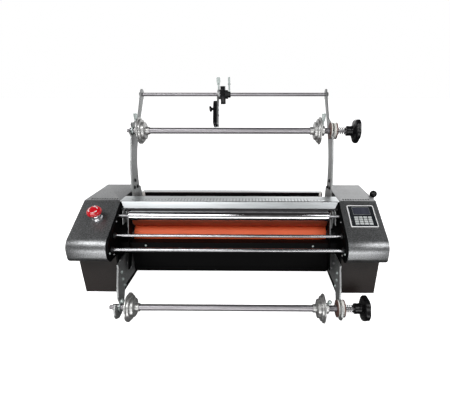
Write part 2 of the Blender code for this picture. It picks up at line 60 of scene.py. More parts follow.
NODES = frame["nodes"]
SIDES = (("left", -1), ("right", 1))

# Local Z becomes world X, for whatever is turned about an axis across the machine.
ALONG_X = Matrix(((0, 0, 1, 0), (0, 1, 0, 0), (-1, 0, 0, 0), (0, 0, 0, 1)))
# Local x, y, z of an outline become world Y, Z, X.
SIDE_VIEW = Matrix(((0, 0, 1, 0), (1, 0, 0, 0), (0, 1, 0, 0), (0, 0, 0, 1)))
# Local Z points away from the machine's middle, on its left (-1) and on its right (1).
OUTWARD = {-1: Matrix.Rotation(pi, 4, "Z") @ ALONG_X, 1: ALONG_X}


# ---------------------------------------------------------------- camera and light
LENS_MM, SENSOR_MM = 25.86, 36.0
LENS_SHIFT = (-0.0562, 0.0556)
CAMERA_AT = (0.077, -1.031, 0.618)
CAMERA_TILT, CAMERA_TURN = radians(66.94), radians(0.58)
AIM = (0, -0.02, 0.2)  # where every light points

# How bright the surroundings are, by height (0 straight down, 1 straight up).
SKY_LEVELS = [(0.0, 0.10), (0.39, 0.12), (0.43, 1.0), (0.69, 1.0), (0.79, 0.45), (0.89, 0.12), (1.0, 0.05)]
# How much of that is left in front of the machine (Y below the first value) and behind it.
SKY_DEPTH = {"From Min": -0.35, "From Max": 0.15, "To Min": 0.28, "To Max": 1.0}


def make_camera():
    data = bpy.data.cameras.new("camera")
    data.lens = LENS_MM
    data.sensor_width = SENSOR_MM
    data.shift_x, data.shift_y = LENS_SHIFT
    data.clip_start = 0.05
    camera = bpy.data.objects.new("camera", data)
    camera.location = CAMERA_AT
    camera.rotation_euler = (CAMERA_TILT, 0, CAMERA_TURN)
    bpy.context.scene.collection.objects.link(camera)
    bpy.context.scene.camera = camera


def area_light(name, place, size, power):
    """A white rectangular light that points at the machine."""
    data = bpy.data.lights.new(name, "AREA")
    data.shape = "RECTANGLE"
    data.size, data.size_y = size
    data.energy = power
    light = bpy.data.objects.new(name, data)
    light.location = place
    light.rotation_euler = (Vector(AIM) - Vector(place)).to_track_quat("-Z", "Y").to_euler()
    bpy.context.scene.collection.objects.link(light)
    return light


def make_lights():
    area_light("key", (-1.0, -1.6, 2.0), (1.8, 0.9), 42)
    area_light("fill", (1.5, -1.4, 1.7), (1.2, 0.9), 22)
    low = area_light("low_front", (0, -1.9, -0.30), (3.2, 0.8), 36)
    low.visible_diffuse = False
    area_light("back", (0.9, 1.7, 0.95), (1.6, 0.8), 3)
    world = bpy.data.worlds.new("studio")
    world.use_nodes = True
    tree = world.node_tree
    sky = tree.nodes["Background"]
    where = tree.nodes.new("ShaderNodeTexCoord")
    axes = tree.nodes.new("ShaderNodeSeparateXYZ")
    height = tree.nodes.new("ShaderNodeMapRange")
    height.inputs["From Min"].default_value = -1.0
    ramp = tree.nodes.new("ShaderNodeValToRGB")
    while len(ramp.color_ramp.elements) < len(SKY_LEVELS):
        ramp.color_ramp.elements.new(0.5)
    for element, (position, level) in zip(ramp.color_ramp.elements, SKY_LEVELS):
        element.position = position
        element.color = (level, level, level, 1)
    tree.links.new(where.outputs["Generated"], axes.inputs["Vector"])
    tree.links.new(axes.outputs["Z"], height.inputs["Value"])
    tree.links.new(height.outputs["Result"], ramp.inputs["Fac"])
    tree.links.new(ramp.outputs["Color"], sky.inputs["Color"])
    depth = tree.nodes.new("ShaderNodeMapRange")
    for socket, value in SKY_DEPTH.items():
        depth.inputs[socket].default_value = value
    tree.links.new(axes.outputs["Y"], depth.inputs["Value"])
    tree.links.new(depth.outputs["Result"], sky.inputs["Strength"])
    bpy.context.scene.world = world
    bpy.context.scene.view_settings.view_transform = "Standard"


# ---------------------------------------------------------------- node materials
class Paint:
    """A Principled material whose colour, roughness and bump come from procedural nodes."""

    def __init__(self, name, roughness=0.5, metallic=0.0, **fixed):
        self.material = bpy.data.materials.new(name)
        self.material.use_nodes = True
        self.tree = self.material.node_tree
        self.shader = self.tree.nodes["Principled BSDF"]
        self.shader.inputs["Roughness"].default_value = roughness
        self.shader.inputs["Metallic"].default_value = metallic
        for key, value in fixed.items():
            self.shader.inputs[key.replace("_", " ")].default_value = value
        self.height = None

    def node(self, kind, **settings):
        made = self.tree.nodes.new(kind)
        for key, value in settings.items():
            setattr(made, key, value)
        return made

    def link(self, output, target):
        self.tree.links.new(output, target)

    def place(self, scale):
        """Object coordinates, stretched by a scale along each axis."""
        where = self.node("ShaderNodeTexCoord")
        stretch = self.node("ShaderNodeMapping")
        stretch.inputs["Scale"].default_value = scale
        self.link(where.outputs["Object"], stretch.inputs["Vector"])
        return stretch.outputs["Vector"]

    def noise(self, scale, detail=4.0, rough=0.55, stretch=(1, 1, 1)):
        texture = self.node("ShaderNodeTexNoise")
        texture.inputs["Scale"].default_value = scale
        texture.inputs["Detail"].default_value = detail
        texture.inputs["Roughness"].default_value = rough
        self.link(self.place(stretch), texture.inputs["Vector"])
        return texture.outputs["Fac"]

    def ramp(self, value, stops):
        """A colour ramp over (position, colour) stops."""
        ramp = self.node("ShaderNodeValToRGB")
        elements = ramp.color_ramp.elements
        while len(elements) < len(stops):
            elements.new(0.5)
        for element, (position, colour) in zip(elements, stops):
            element.position = position
            element.color = (*colour, 1)
        self.link(value, ramp.inputs["Fac"])
        return ramp.outputs["Color"]

    def colour(self, output):
        self.link(output, self.shader.inputs["Base Color"])
        return self

    def mix(self, factor, first, second):
        """Two colours, or colour outputs, mixed by a factor."""
        mixer = self.node("ShaderNodeMix", data_type="RGBA")
        for socket, value in ((mixer.inputs[6], first), (mixer.inputs[7], second)):
            if isinstance(value, tuple):
                socket.default_value = (*value, 1)
            else:
                self.link(value, socket)
        self.link(factor, mixer.inputs[0])
        return mixer.outputs[2]

    def between(self, value, low, high):
        """A 0 to 1 value spread between two numbers."""
        spread = self.node("ShaderNodeMapRange")
        spread.inputs["To Min"].default_value = low
        spread.inputs["To Max"].default_value = high
        self.link(value, spread.inputs["Value"])
        return spread.outputs["Result"]

    def rough(self, value, low, high):
        self.link(self.between(value, low, high), self.shader.inputs["Roughness"])
        return self

    def bump(self, value, distance, strength=0.5):
        """Each bump is laid over the last one."""
        bump = self.node("ShaderNodeBump")
        bump.inputs["Distance"].default_value = distance
        bump.inputs["Strength"].default_value = strength
        self.link(value, bump.inputs["Height"])
        if self.height:
            self.link(self.height, bump.inputs["Normal"])
        self.height = bump.outputs["Normal"]
        self.link(self.height, self.shader.inputs["Normal"])
        return self


def powder_coat(name, dark, light, roughness, metallic=0.0, grain=900, depth=0.00012, dull=0.5):
    """Baked powder paint: an orange-peel grain with fine flecks of two tones."""
    paint = Paint(name, roughness, metallic, Specular_IOR_Level=dull)
    flecks = paint.noise(grain, detail=3, rough=0.6)
    paint.colour(paint.ramp(flecks, [(0.36, dark), (0.66, light)]))
    paint.rough(paint.noise(35, detail=2), roughness - 0.07, roughness + 0.07)
    paint.bump(flecks, depth, 0.55)
    return paint.material


def brushed_metal(name, dark, light, roughness, along=(0.03, 1, 1), grain=420, metallic=1.0):
    """Metal with fine lines along one axis and faint smears."""
    paint = Paint(name, roughness, metallic)
    lines = paint.noise(grain, detail=3, rough=0.7, stretch=along)
    smears = paint.noise(14, detail=3)
    tone = paint.ramp(lines, [(0.3, dark), (0.7, light)])
    paint.colour(paint.mix(paint.between(smears, 0.0, 0.35), tone, dark))
    paint.rough(lines, max(roughness - 0.06, 0.02), roughness + 0.08)
    paint.bump(lines, 0.00003, 0.4)
    return paint.material


def moulded_plastic(name, dark, light, roughness, grain=700, dull=0.5):
    """Injection moulded plastic: a fine spark texture and slightly uneven gloss."""
    paint = Paint(name, roughness, 0.0, Specular_IOR_Level=dull)
    spark = paint.noise(grain, detail=2, rough=0.5)
    cloud = paint.noise(22, detail=3)
    paint.colour(paint.ramp(cloud, [(0.3, dark), (0.7, light)]))
    paint.rough(spark, roughness - 0.05, roughness + 0.09)
    paint.bump(spark, 0.00006, 0.5)
    return paint.material


def silicone_rubber():
    """Ground silicone: fine grinding rings round the roll, a matt bloom and a warm orange body."""
    paint = Paint("silicone", 0.55, 0.0, Specular_IOR_Level=0.35)
    rings = paint.noise(900, detail=2, rough=0.6, stretch=(1, 0.06, 0.06))
    bloom = paint.noise(9, detail=4, rough=0.6)
    base = paint.ramp(bloom, [(0.25, (0.76, 0.118, 0.036)), (0.75, (0.88, 0.158, 0.054))])
    paint.colour(paint.mix(paint.between(rings, 0.0, 0.25), base, (0.56, 0.075, 0.024)))
    paint.rough(bloom, 0.48, 0.62)
    paint.bump(rings, 0.00005, 0.5)
    return paint.material


def cast_metal():
    """Tumbled die-cast aluminium: soft pits and darker hollows."""
    paint = Paint("cast_aluminium", 0.42, 0.85)
    pits = paint.noise(330, detail=5, rough=0.65)
    cloud = paint.noise(45, detail=3)
    paint.colour(paint.ramp(cloud, [(0.3, (0.34, 0.34, 0.335)), (0.7, (0.56, 0.56, 0.55))]))
    paint.rough(pits, 0.34, 0.52)
    paint.bump(pits, 0.0002, 0.6)
    return paint.material


def glass_window():
    """Dark smoked display glass with faint upright streaks of the cells behind it."""
    paint = Paint("glass", 0.12, 0.0, Coat_Weight=0.6, Coat_Roughness=0.04)
    streaks = paint.noise(60, detail=2, stretch=(1, 0.05, 0.05))
    paint.colour(paint.ramp(streaks, [(0.35, (0.034, 0.036, 0.050)), (0.70, (0.060, 0.062, 0.084))]))
    paint.rough(paint.noise(30, detail=2), 0.10, 0.20)
    return paint.material


def fibre_board():
    """Red-brown vulcanised fibre with long pale strands."""
    paint = Paint("fibre", 0.55, 0.0)
    strands = paint.noise(240, detail=4, rough=0.7, stretch=(0.3, 1, 1))
    paint.colour(paint.ramp(strands, [(0.3, (0.085, 0.036, 0.030)), (0.7, (0.20, 0.100, 0.082))]))
    paint.rough(strands, 0.45, 0.65)
    paint.bump(strands, 0.00008, 0.5)
    return paint.material


def make_materials():
    flat = (1, 1, 1)
    return {
        "cover_paint": powder_coat(
            "cover_paint", (0.120, 0.123, 0.126), (0.29, 0.295, 0.30), 0.33, 0.8, 330, 0.00022
        ),
        "black_paint": powder_coat(
            "black_paint", (0.0012, 0.0012, 0.0014), (0.0032, 0.0032, 0.0034), 0.50, 0.0, dull=0.04
        ),
        "base_paint": powder_coat(
            "base_paint", (0.011, 0.0077, 0.0066), (0.030, 0.0210, 0.0182), 0.55, 0.0, dull=0.3
        ),
        "arm_steel": powder_coat(
            "arm_steel", (0.24, 0.245, 0.245), (0.42, 0.43, 0.43), 0.48, 0.75, grain=420
        ),
        "dark_bar": powder_coat(
            "dark_bar", (0.030, 0.030, 0.032), (0.070, 0.071, 0.073), 0.60, 0.0, dull=0.1
        ),
        "cover_aluminium": brushed_metal("cover_aluminium", (0.50, 0.52, 0.53), (0.70, 0.73, 0.74), 0.36),
        "lip_aluminium": brushed_metal("lip_aluminium", (0.42, 0.44, 0.45), (0.54, 0.56, 0.57), 0.40),
        "chrome": brushed_metal("chrome", (0.48, 0.48, 0.50), (0.66, 0.66, 0.68), 0.10, (0.5, 1, 1), 60),
        "rod_steel": brushed_metal(
            "rod_steel", (0.26, 0.26, 0.27), (0.40, 0.40, 0.41), 0.24, (0.5, 1, 1), 60
        ),
        "silicone": silicone_rubber(),
        "steel_shaft": brushed_metal("steel_shaft", (0.24, 0.23, 0.24), (0.38, 0.37, 0.39), 0.46),
        "roller_steel": brushed_metal("roller_steel", (0.20, 0.20, 0.21), (0.36, 0.36, 0.37), 0.30),
        "zinc": brushed_metal("zinc", (0.40, 0.45, 0.44), (0.60, 0.66, 0.64), 0.45, flat, 250, 0.6),
        "spring_steel": brushed_metal(
            "spring_steel", (0.14, 0.14, 0.14), (0.40, 0.40, 0.40), 0.25, flat, 350
        ),
        "cast_aluminium": cast_metal(),
        "gear_steel": brushed_metal("gear_steel", (0.25, 0.25, 0.26), (0.42, 0.42, 0.43), 0.35, flat),
        "black_plastic": moulded_plastic(
            "black_plastic", (0.004, 0.004, 0.0045), (0.009, 0.009, 0.010), 0.40, dull=0.3
        ),
        "gloss_black": moulded_plastic(
            "gloss_black", (0.003, 0.003, 0.0035), (0.007, 0.007, 0.008), 0.24, dull=0.25
        ),
        "panel_film": moulded_plastic(
            "panel_film", (0.010, 0.012, 0.015), (0.020, 0.022, 0.026), 0.30, dull=0.3
        ),
        "white_plastic": moulded_plastic("white_plastic", (0.70, 0.69, 0.65), (0.82, 0.81, 0.78), 0.42),
        "rim_plastic": moulded_plastic("rim_plastic", (0.16, 0.17, 0.17), (0.24, 0.25, 0.25), 0.42),
        "legend_white": moulded_plastic("legend_white", (0.86, 0.86, 0.86), (0.94, 0.94, 0.94), 0.40),
        "red_plastic": moulded_plastic("red_plastic", (0.52, 0.003, 0.010), (0.68, 0.008, 0.020), 0.20),
        "key_plastic": moulded_plastic("key_plastic", (0.50, 0.52, 0.52), (0.66, 0.68, 0.68), 0.42),
        "glass": glass_window(),
        "fibre": fibre_board(),
    }


MATERIALS = make_materials()
SLOT_OF = {part["node"]: part["material_slot"] for part in frame["record"]["subparts"]}
FINISH_OF = dict(SLOT_OF, guide_bar="dark_bar")
for node, thing in NODES.items():
    thing.data.materials.clear()
    thing.data.materials.append(MATERIALS[FINISH_OF[node]])


# ---------------------------------------------------------------- building pieces
# Sizes that the pieces below share. The outer shapes are the CAD's own.
GAP = 0.0004
SHEET = 0.002
FRAME_IN = 0.347
COVER_IN, COVER_OUT, COVER_TOP, COVER_FLOOR = 0.3531, 0.471, 0.282, 0.139
REAR_Y, FOLD_Y, SLOPE, BASE_FRONT_Y = 0.144, -0.042, radians(28), -0.143
NOSE_FRONT_Y, NOSE_R = -0.200, 0.042
CHIN_R, CHIN_Z = 0.018, 0.157
ROLL_FACE, ROLL_R = 0.3165, 0.0298
ROLL_Y, UPPER_ROLL_Z, LOWER_ROLL_Z = -0.035, 0.224, 0.164
IDLER = (-0.084, 0.245)  # y, z, as for every shaft below
IDLER_FACE, IDLER_R, IDLER_JOURNAL_R = 0.3125, 0.0145, 0.005
GUIDE_RODS = {"upper": (-0.140, 0.202, 0.005), "lower": (-0.172, 0.170, 0.006)}  # y, z, radius
ROD_END = 0.3466
UPPER_SHAFT, LOWER_SHAFT = (0.100, 0.483), (-0.216, -0.006)
SHAFT_BORE_R = 0.0103  # of whatever sits on a supply shaft
RAIL, RAIL_R = (0.252, 0.594), 0.006
HINGE = (0.004, 0.2805)
LEVER_PIVOT, LEVER_BALL = (0.025, 0.185), (0.484, 0.025, 0.285)
ARM_IN = {"left": 0.3340, "right": 0.3395}
ARM_OUT = {"left": 0.3390, "right": 0.3445}
PANEL_X, PANEL_DOWN = 0.4125, 0.0655
ESTOP_X, ESTOP_DOWN = -0.404, 0.075
ON_SLOPE = Matrix.Rotation(SLOPE, 4, "X")

# For a finish that the record doesn't list, the slot of the nearest one; show() looks it up but doesn't use
# it.
SLOT_FOR = {
    "zinc": "chrome",
    "fibre": "white_plastic",
    "glass": "black_plastic",
    "gloss_black": "black_plastic",
    "panel_film": "black_plastic",
    "rim_plastic": "key_plastic",
    "spring_steel": "steel_shaft",
    "roller_steel": "steel_shaft",
    "rod_steel": "chrome",
    "dark_bar": "arm_steel",
    "legend_white": "white_plastic",
    "lip_aluminium": "cover_aluminium",
}


def show(name, mesh, finish, body, stands_for=(), place=None, crease=32):
    """Puts a mesh in the scene, riding on a body, in place of the CAD nodes it stands for."""
    if place is not None:
        mesh.transform(place)
    mesh.shade_smooth()
    mesh.set_sharp_from_angle(angle=radians(crease))
    mesh.materials.append(MATERIALS[finish])
    piece = bpy.data.objects.new(name, mesh)
    bpy.context.scene.collection.objects.link(piece)
    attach(piece, body)
    SLOT_FOR.get(finish, finish)
    if stands_for:
        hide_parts(*stands_for)
    return piece


def mesh_from(build):
    shape = bmesh.new()
    build(shape)
    bmesh.ops.recalc_face_normals(shape, faces=shape.faces)
    mesh = bpy.data.meshes.new("shape")
    shape.to_mesh(mesh)
    shape.free()
    return mesh


def rounded(points, radius, closed=False, steps=4):
    """An outline with each corner eased by a small curve."""
    points = [Vector(point) for point in points]
    count = len(points)
    eased = []
    for i, corner in enumerate(points):
        if not closed and i in (0, count - 1):
            eased.append(corner)
            continue
        to_last, to_next = points[i - 1] - corner, points[(i + 1) % count] - corner
        reach = min(radius, to_last.length * 0.45, to_next.length * 0.45)
        start, end = corner + to_last.normalized() * reach, corner + to_next.normalized() * reach
        for k in range(steps + 1):
            t = k / steps
            eased.append(start * (1 - t) ** 2 + corner * (2 * t * (1 - t)) + end * t ** 2)
    return eased


def lathe(profile, rounding=0.0008, ring=False, segments=96, wave=None):
    """(height, radius) points turned about local Z. A wave scales the radius round the turn."""
    outline = rounded(profile, rounding, ring)

    def build(shape):
        rows = []
        for height, radius in outline:
            if radius < 1e-6:
                rows.append([shape.verts.new((0, 0, height))])
                continue
            row = []
            for i in range(segments):
                angle = 2 * pi * i / segments
                reach = radius * (wave(radius, angle) if wave else 1.0)
                row.append(shape.verts.new((reach * cos(angle), reach * sin(angle), height)))
            rows.append(row)
        steps = list(zip(rows, rows[1:])) + ([(rows[-1], rows[0])] if ring else [])
        for first, second in steps:
            for i in range(segments):
                j = (i + 1) % segments
                corners = [
                    first[i % len(first)], first[j % len(first)], second[j % len(second)],
                    second[i % len(second)],
                ]
                distinct = list(dict.fromkeys(corners))
                if len(distinct) > 2:
                    shape.faces.new(distinct)

    return mesh_from(build)


def bar_profile(low, high, radius, bore=0):
    """The outline of a plain cylinder for a lathe, or of a sleeve where it has a bore."""
    return [(low, bore), (low, radius), (high, radius), (high, bore)]


def along_x(y, z):
    return Matrix.Translation((0, y, z)) @ ALONG_X


def plate(rings, low, high, ease=0.0005):
    """A plate with eased edges from local Z low to high. Its first ring is its edge, the rest are holes."""
    curve = bpy.data.curves.new("outline", "CURVE")
    curve.dimensions = "2D"
    curve.fill_mode = "BOTH"
    curve.extrude = (high - low) / 2 - ease
    curve.bevel_depth = ease
    curve.bevel_resolution = 2
    curve.offset = -ease
    for ring in rings:
        spline = curve.splines.new("POLY")
        spline.points.add(len(ring) - 1)
        spline.use_cyclic_u = True
        for point, at in zip(spline.points, ring):
            point.co = (at[0], at[1], 0, 1)
    flat = bpy.data.objects.new("outline", curve)
    bpy.context.scene.collection.objects.link(flat)
    bpy.context.view_layer.update()
    mesh = bpy.data.meshes.new_from_object(flat.evaluated_get(bpy.context.evaluated_depsgraph_get()))
    mesh.materials.clear()
    shape = bmesh.new()
    shape.from_mesh(mesh)
    bmesh.ops.remove_doubles(shape, verts=shape.verts, dist=0.00001)
    bmesh.ops.recalc_face_normals(shape, faces=shape.faces)
    shape.to_mesh(mesh)
    shape.free()
    mesh.transform(Matrix.Translation((0, 0, (low + high) / 2)))
    bpy.data.objects.remove(flat, do_unlink=True)
    bpy.data.curves.remove(curve)
    return mesh


def block(low, high, ease=0.0008):
    """A block between two corners with eased edges."""
    low, high = Vector(low), Vector(high)

    def build(shape):
        size = Matrix.Diagonal((*(high - low), 1.0))
        bmesh.ops.create_cube(shape, size=1.0, matrix=Matrix.Translation((low + high) / 2) @ size)
        bmesh.ops.bevel(shape, geom=shape.edges[:], offset=ease, segments=3, profile=0.6, affect="EDGES")

    return mesh_from(build)


def tube(points, radius, sides=10):
    """A round wire along points."""
    points = [Vector(point) for point in points]
    count = len(points)

    def build(shape):
        rows = []
        side = None
        for i, point in enumerate(points):
            ahead = points[i + 1] if i < count - 1 else point
            behind = points[i - 1] if i > 0 else point
            way = (ahead - behind).normalized()
            if side is None:
                side = way.orthogonal().normalized()
            side = (side - way * side.dot(way)).normalized()
            other = way.cross(side)
            angles = [2 * pi * k / sides for k in range(sides)]
            rows.append([shape.verts.new(point + radius * (side * cos(a) + other * sin(a))) for a in angles])
        for first, second in zip(rows, rows[1:]):
            for k in range(sides):
                shape.faces.new((first[k], first[(k + 1) % sides], second[(k + 1) % sides], second[k]))
        shape.faces.new(rows[0])
        shape.faces.new(rows[-1])

    return mesh_from(build)


def carve(mesh, cutter):
    """Cuts one mesh out of another."""
    things = [bpy.data.objects.new("carve", part) for part in (mesh, cutter)]
    for thing in things:
        bpy.context.scene.collection.objects.link(thing)
    step = things[0].modifiers.new("cut", "BOOLEAN")
    step.operation = "DIFFERENCE"
    step.solver = "EXACT"
    step.object = things[1]
    bpy.context.view_layer.update()
    cut = bpy.data.meshes.new_from_object(things[0].evaluated_get(bpy.context.evaluated_depsgraph_get()))
    for thing in things:
        bpy.data.objects.remove(thing, do_unlink=True)
    return cut


def joined(meshes):
    shape = bmesh.new()
    for mesh in meshes:
        shape.from_mesh(mesh)
    whole = bpy.data.meshes.new("joined")
    shape.to_mesh(whole)
    shape.free()
    return whole


def moved(mesh, place):
    mesh.transform(place)
    return mesh


def ring_of(across, up, radius, sides=24):
    angles = [2 * pi * i / sides for i in range(sides)]
    return [(across + radius * cos(a), up + radius * sin(a)) for a in angles]


def rounded_rect(x0, y0, x1, y1, radius):
    return rounded([(x0, y0), (x1, y0), (x1, y1), (x0, y1)], radius, closed=True, steps=6)


def arc(y, z, radius, start, end, steps):
    angles = [radians(start + (end - start) * i / steps) for i in range(steps + 1)]
    return [(y + radius * cos(a), z + radius * sin(a)) for a in angles]


def facing(point, way):
    """Local Z points from a place along a direction."""
    return Matrix.Translation(point) @ Vector(way).to_track_quat("Z", "Y").to_matrix().to_4x4()


def slope_seat(x, down):
    """A place on the covers' slope, its local Z square to it: x across and a distance down from the fold."""
    y = FOLD_Y - down * cos(SLOPE) - GAP * sin(SLOPE)
    z = COVER_TOP - down * sin(SLOPE) + GAP * cos(SLOPE)
    return Matrix.Translation((x, y, z)) @ ON_SLOPE


def ease_node(node, width, segments=2):
    """Eases a CAD node's own sharp edges."""
    bevel = NODES[node].modifiers.new("eased", "BEVEL")
    bevel.width = width
    bevel.segments = segments
    bevel.limit_method = "ANGLE"
    bevel.angle_limit = radians(40)


# ---------------------------------------------------------------- fasteners
def socket_screw(name, point, way, body, radius=0.0035, height=0.0028, finish="zinc"):
    """A button head with a hexagon socket."""
    profile = [
        (-0.0010, 0), (-0.0010, radius), (0.0004, radius), (height * 0.75, radius * 0.78),
        (height, radius * 0.50), (height, radius * 0.45), (height * 0.45, radius * 0.42), (height * 0.45, 0),
    ]
    mesh = lathe(profile, 0.0003, segments=30)
    return show(name, mesh, finish, body, place=facing(point, way))


def hex_bolt(name, point, way, body, radius=0.0055, height=0.0035, finish="zinc"):
    """A hexagon head on a washer."""
    head = plate([ring_of(0, 0, radius, 6)], 0.0009, height, 0.0004)
    washer = lathe(bar_profile(-0.0004, 0.0010, radius * 1.35), 0.0003, segments=36)
    return show(name, joined([head, washer]), finish, body, place=facing(point, way))


def wing_screw(name, x, y, z, body, top, turn=0.0):
    """A zinc thumb screw that stands upright: a threaded shank, a shoulder and a flat waisted wing."""
    shank = top - z - 0.022
    stem = lathe(
        [
            (-0.003, 0), (-0.003, 0.0030), (shank - 0.004, 0.0030), (shank - 0.004, 0.0052), (shank, 0.0052),
            (shank + 0.002, 0),
        ],
        0.0005,
        segments=30,
    )
    half, low, high = 0.0068, shank - 0.001, top - z
    wing = [
        (-0.0050, low), (0.0050, low), (0.0056, low + 0.004), (half, low + 0.008), (half, high - 0.003),
        (half - 0.003, high), (0.0016, high - 0.0016), (-0.0016, high - 0.0016), (-half + 0.003, high),
        (-half, high - 0.003), (-half, low + 0.008), (-0.0056, low + 0.004),
    ]
    flat = plate([rounded(wing, 0.0022, closed=True)], -0.0016, 0.0016, 0.0007)
    flat.transform(Matrix.Rotation(pi / 2, 4, "X"))
    place = Matrix.Translation((x, y, z)) @ Matrix.Rotation(turn, 4, "Z")
    return show(name, joined([stem, flat]), "zinc", body, place=place)


# ---------------------------------------------------------------- covers
def nose_outline(inset):
    nose_y = NOSE_FRONT_Y + NOSE_R
    nose_z = COVER_TOP - (FOLD_Y - nose_y) * tan(SLOPE) - NOSE_R / cos(SLOPE)
    fold = (FOLD_Y + inset * tan(SLOPE / 2), COVER_TOP - inset)
    eased_fold = rounded([(REAR_Y - inset, COVER_TOP - inset), fold, (nose_y, nose_z)], 0.004)[1:-1]
    return (
        [Vector((REAR_Y - inset, COVER_TOP - inset))]
        + eased_fold
        + arc(nose_y, nose_z, NOSE_R - inset, 118, 180, 20)
        + arc(NOSE_FRONT_Y + CHIN_R, CHIN_Z, CHIN_R - inset, 180, 270, 10)
    )


def make_side_covers():
    below = COVER_FLOOR - 0.01
    step_y = BASE_FRONT_Y + SHEET
    outer = [(REAR_Y, COVER_FLOOR)] + nose_outline(0.0)
    inner = [(REAR_Y - SHEET, below)] + nose_outline(SHEET) + [(step_y, COVER_FLOOR + SHEET), (step_y, below)]
    vents, pitch = 11, 0.0082
    for word, side in SIDES:
        x0, x1 = sorted((side * COVER_IN, side * COVER_OUT))
        cut_x0, cut_x1 = sorted((side * (COVER_IN - 0.01), side * (COVER_OUT - SHEET)))
        shell = moved(plate([outer], x0, x1, 0.0010), SIDE_VIEW)
        shell = carve(shell, moved(plate([inner], cut_x0, cut_x1, 0.0001), SIDE_VIEW))
        slots = []
        for i in range(vents):
            middle = side * 0.410 + (i - (vents - 1) / 2) * pitch
            ring = rounded_rect(middle - 0.0023, FOLD_Y + 0.008, middle + 0.0023, FOLD_Y + 0.020, 0.0021)
            slots.append(plate([ring], COVER_TOP - 0.006, COVER_TOP + 0.003, 0.0001))
        shell = carve(shell, joined(slots))
        if side > 0:
            bore = lathe(bar_profile(COVER_OUT - 0.01, COVER_OUT + 0.01, 0.0088), 0.0001)
            shell = carve(shell, moved(bore, along_x(*LEVER_PIVOT)))
        show(f"cover_shell_{word}", shell, "cover_paint", "chassis", [f"side_cover_{word}"], crease=28)
        wall = side * COVER_OUT
        for index, (y, z) in enumerate(((0.120, 0.262), (0.120, 0.160), (-0.020, 0.160), (-0.150, 0.165))):
            socket_screw(
                f"cover_screw_{word}_{index}", (wall, y, z), (side, 0, 0), "chassis", finish="black_plastic"
            )
        # A black sheet under the vent slots: painted shade, standing in for the dark inside seen through
        # them.
        shade_under_vents = block(
            (x0 + 0.004, FOLD_Y + 0.004, COVER_TOP - 0.0100),
            (x1 - 0.004, FOLD_Y + 0.024, COVER_TOP - 0.0092),
            0.0002,
        )
        show(f"vent_shade_sheet_{word}", shade_under_vents, "black_plastic", "chassis")


def make_top_cover():
    front, back, half = -0.0500, HINGE[0] - 0.001, 0.3525
    pitch, hole = 0.0105, 0.0026
    rings = [rounded_rect(-half, front, half, back, 0.0012)]
    across = int(0.325 / pitch)
    for i in range(-across, across + 1):
        x = i * pitch
        rings.append(ring_of(x, -0.0345, hole, 12))
        if -0.200 < x < 0.262 and i != 0:
            rings.append(ring_of(x, -0.0450, hole, 12))
            rings.append(ring_of(x, -0.0240, hole, 12))
    top = plate(rings, COVER_TOP - 0.0008, COVER_TOP, 0.0002)
    show("guard_top", top, "cover_aluminium", "cover", ["top_cover"])

    foot_y, foot_z = front - 0.008, COVER_TOP - 0.020
    outside = rounded(
        [(front + 0.003, COVER_TOP), (front - 0.0015, COVER_TOP), (foot_y - SHEET, foot_z)], 0.0035, steps=6
    )
    inside = rounded(
        [(foot_y, foot_z), (front, COVER_TOP - SHEET), (front + 0.003, COVER_TOP - SHEET)], 0.0015
    )
    ring = outside + inside

    def build(shape):
        ends = []
        for side in (-1, 1):
            rows = []
            for y, z in ring:
                reach = min(0.350 - 0.4667 * (COVER_TOP + 0.006 - z), 0.3462)
                rows.append(shape.verts.new((side * reach, y, z)))
            ends.append(rows)
        count = len(ring)
        for i in range(count):
            j = (i + 1) % count
            shape.faces.new((ends[0][i], ends[0][j], ends[1][j], ends[1][i]))
        for rows in ends:
            shape.faces.new(rows)

    show("guard_lip", mesh_from(build), "lip_aluminium", "cover", crease=30)
    knuckles = [
        lathe(bar_profile(x, x + 0.098, 0.0022), 0.0003, segments=20)
        for x in (-0.300, -0.150, 0.052, 0.202)
    ]
    show("guard_hinge", joined(knuckles), "steel_shaft", "cover", place=along_x(*HINGE))


def make_rear():
    """The lip under the guide bar, a black strip of painted shade behind the rolls, the top bar's stops and
    the rear screws.
    """
    show(
        "guide_lip",
        block((-0.3165, -0.0602, 0.2475), (0.3165, -0.0584, 0.2570), 0.0005),
        "dark_bar",
        "chassis",
    )
    # A black strip in front of the top bar's flange: painted shade behind the rolls, which also keeps the
    # flange from showing a reflection of the rolls.
    show(
        "rear_shade_strip",
        block((-0.322, 0.0730, 0.213), (0.322, 0.0748, 0.2715), 0.0004),
        "black_paint",
        "chassis",
    )
    for word, side in SIDES:
        post = block((side * 0.314 - 0.004, 0.066, 0.258), (side * 0.314 + 0.004, 0.0725, 0.277), 0.0015)
        show(f"bar_stop_{word}", post, "white_plastic", "chassis")
    for index in range(7):
        x = -0.30 + index * 0.10
        socket_screw(f"rear_screw_{index}", (x, 0.100, 0.150), (0, 1, 0), "chassis", finish="black_plastic")


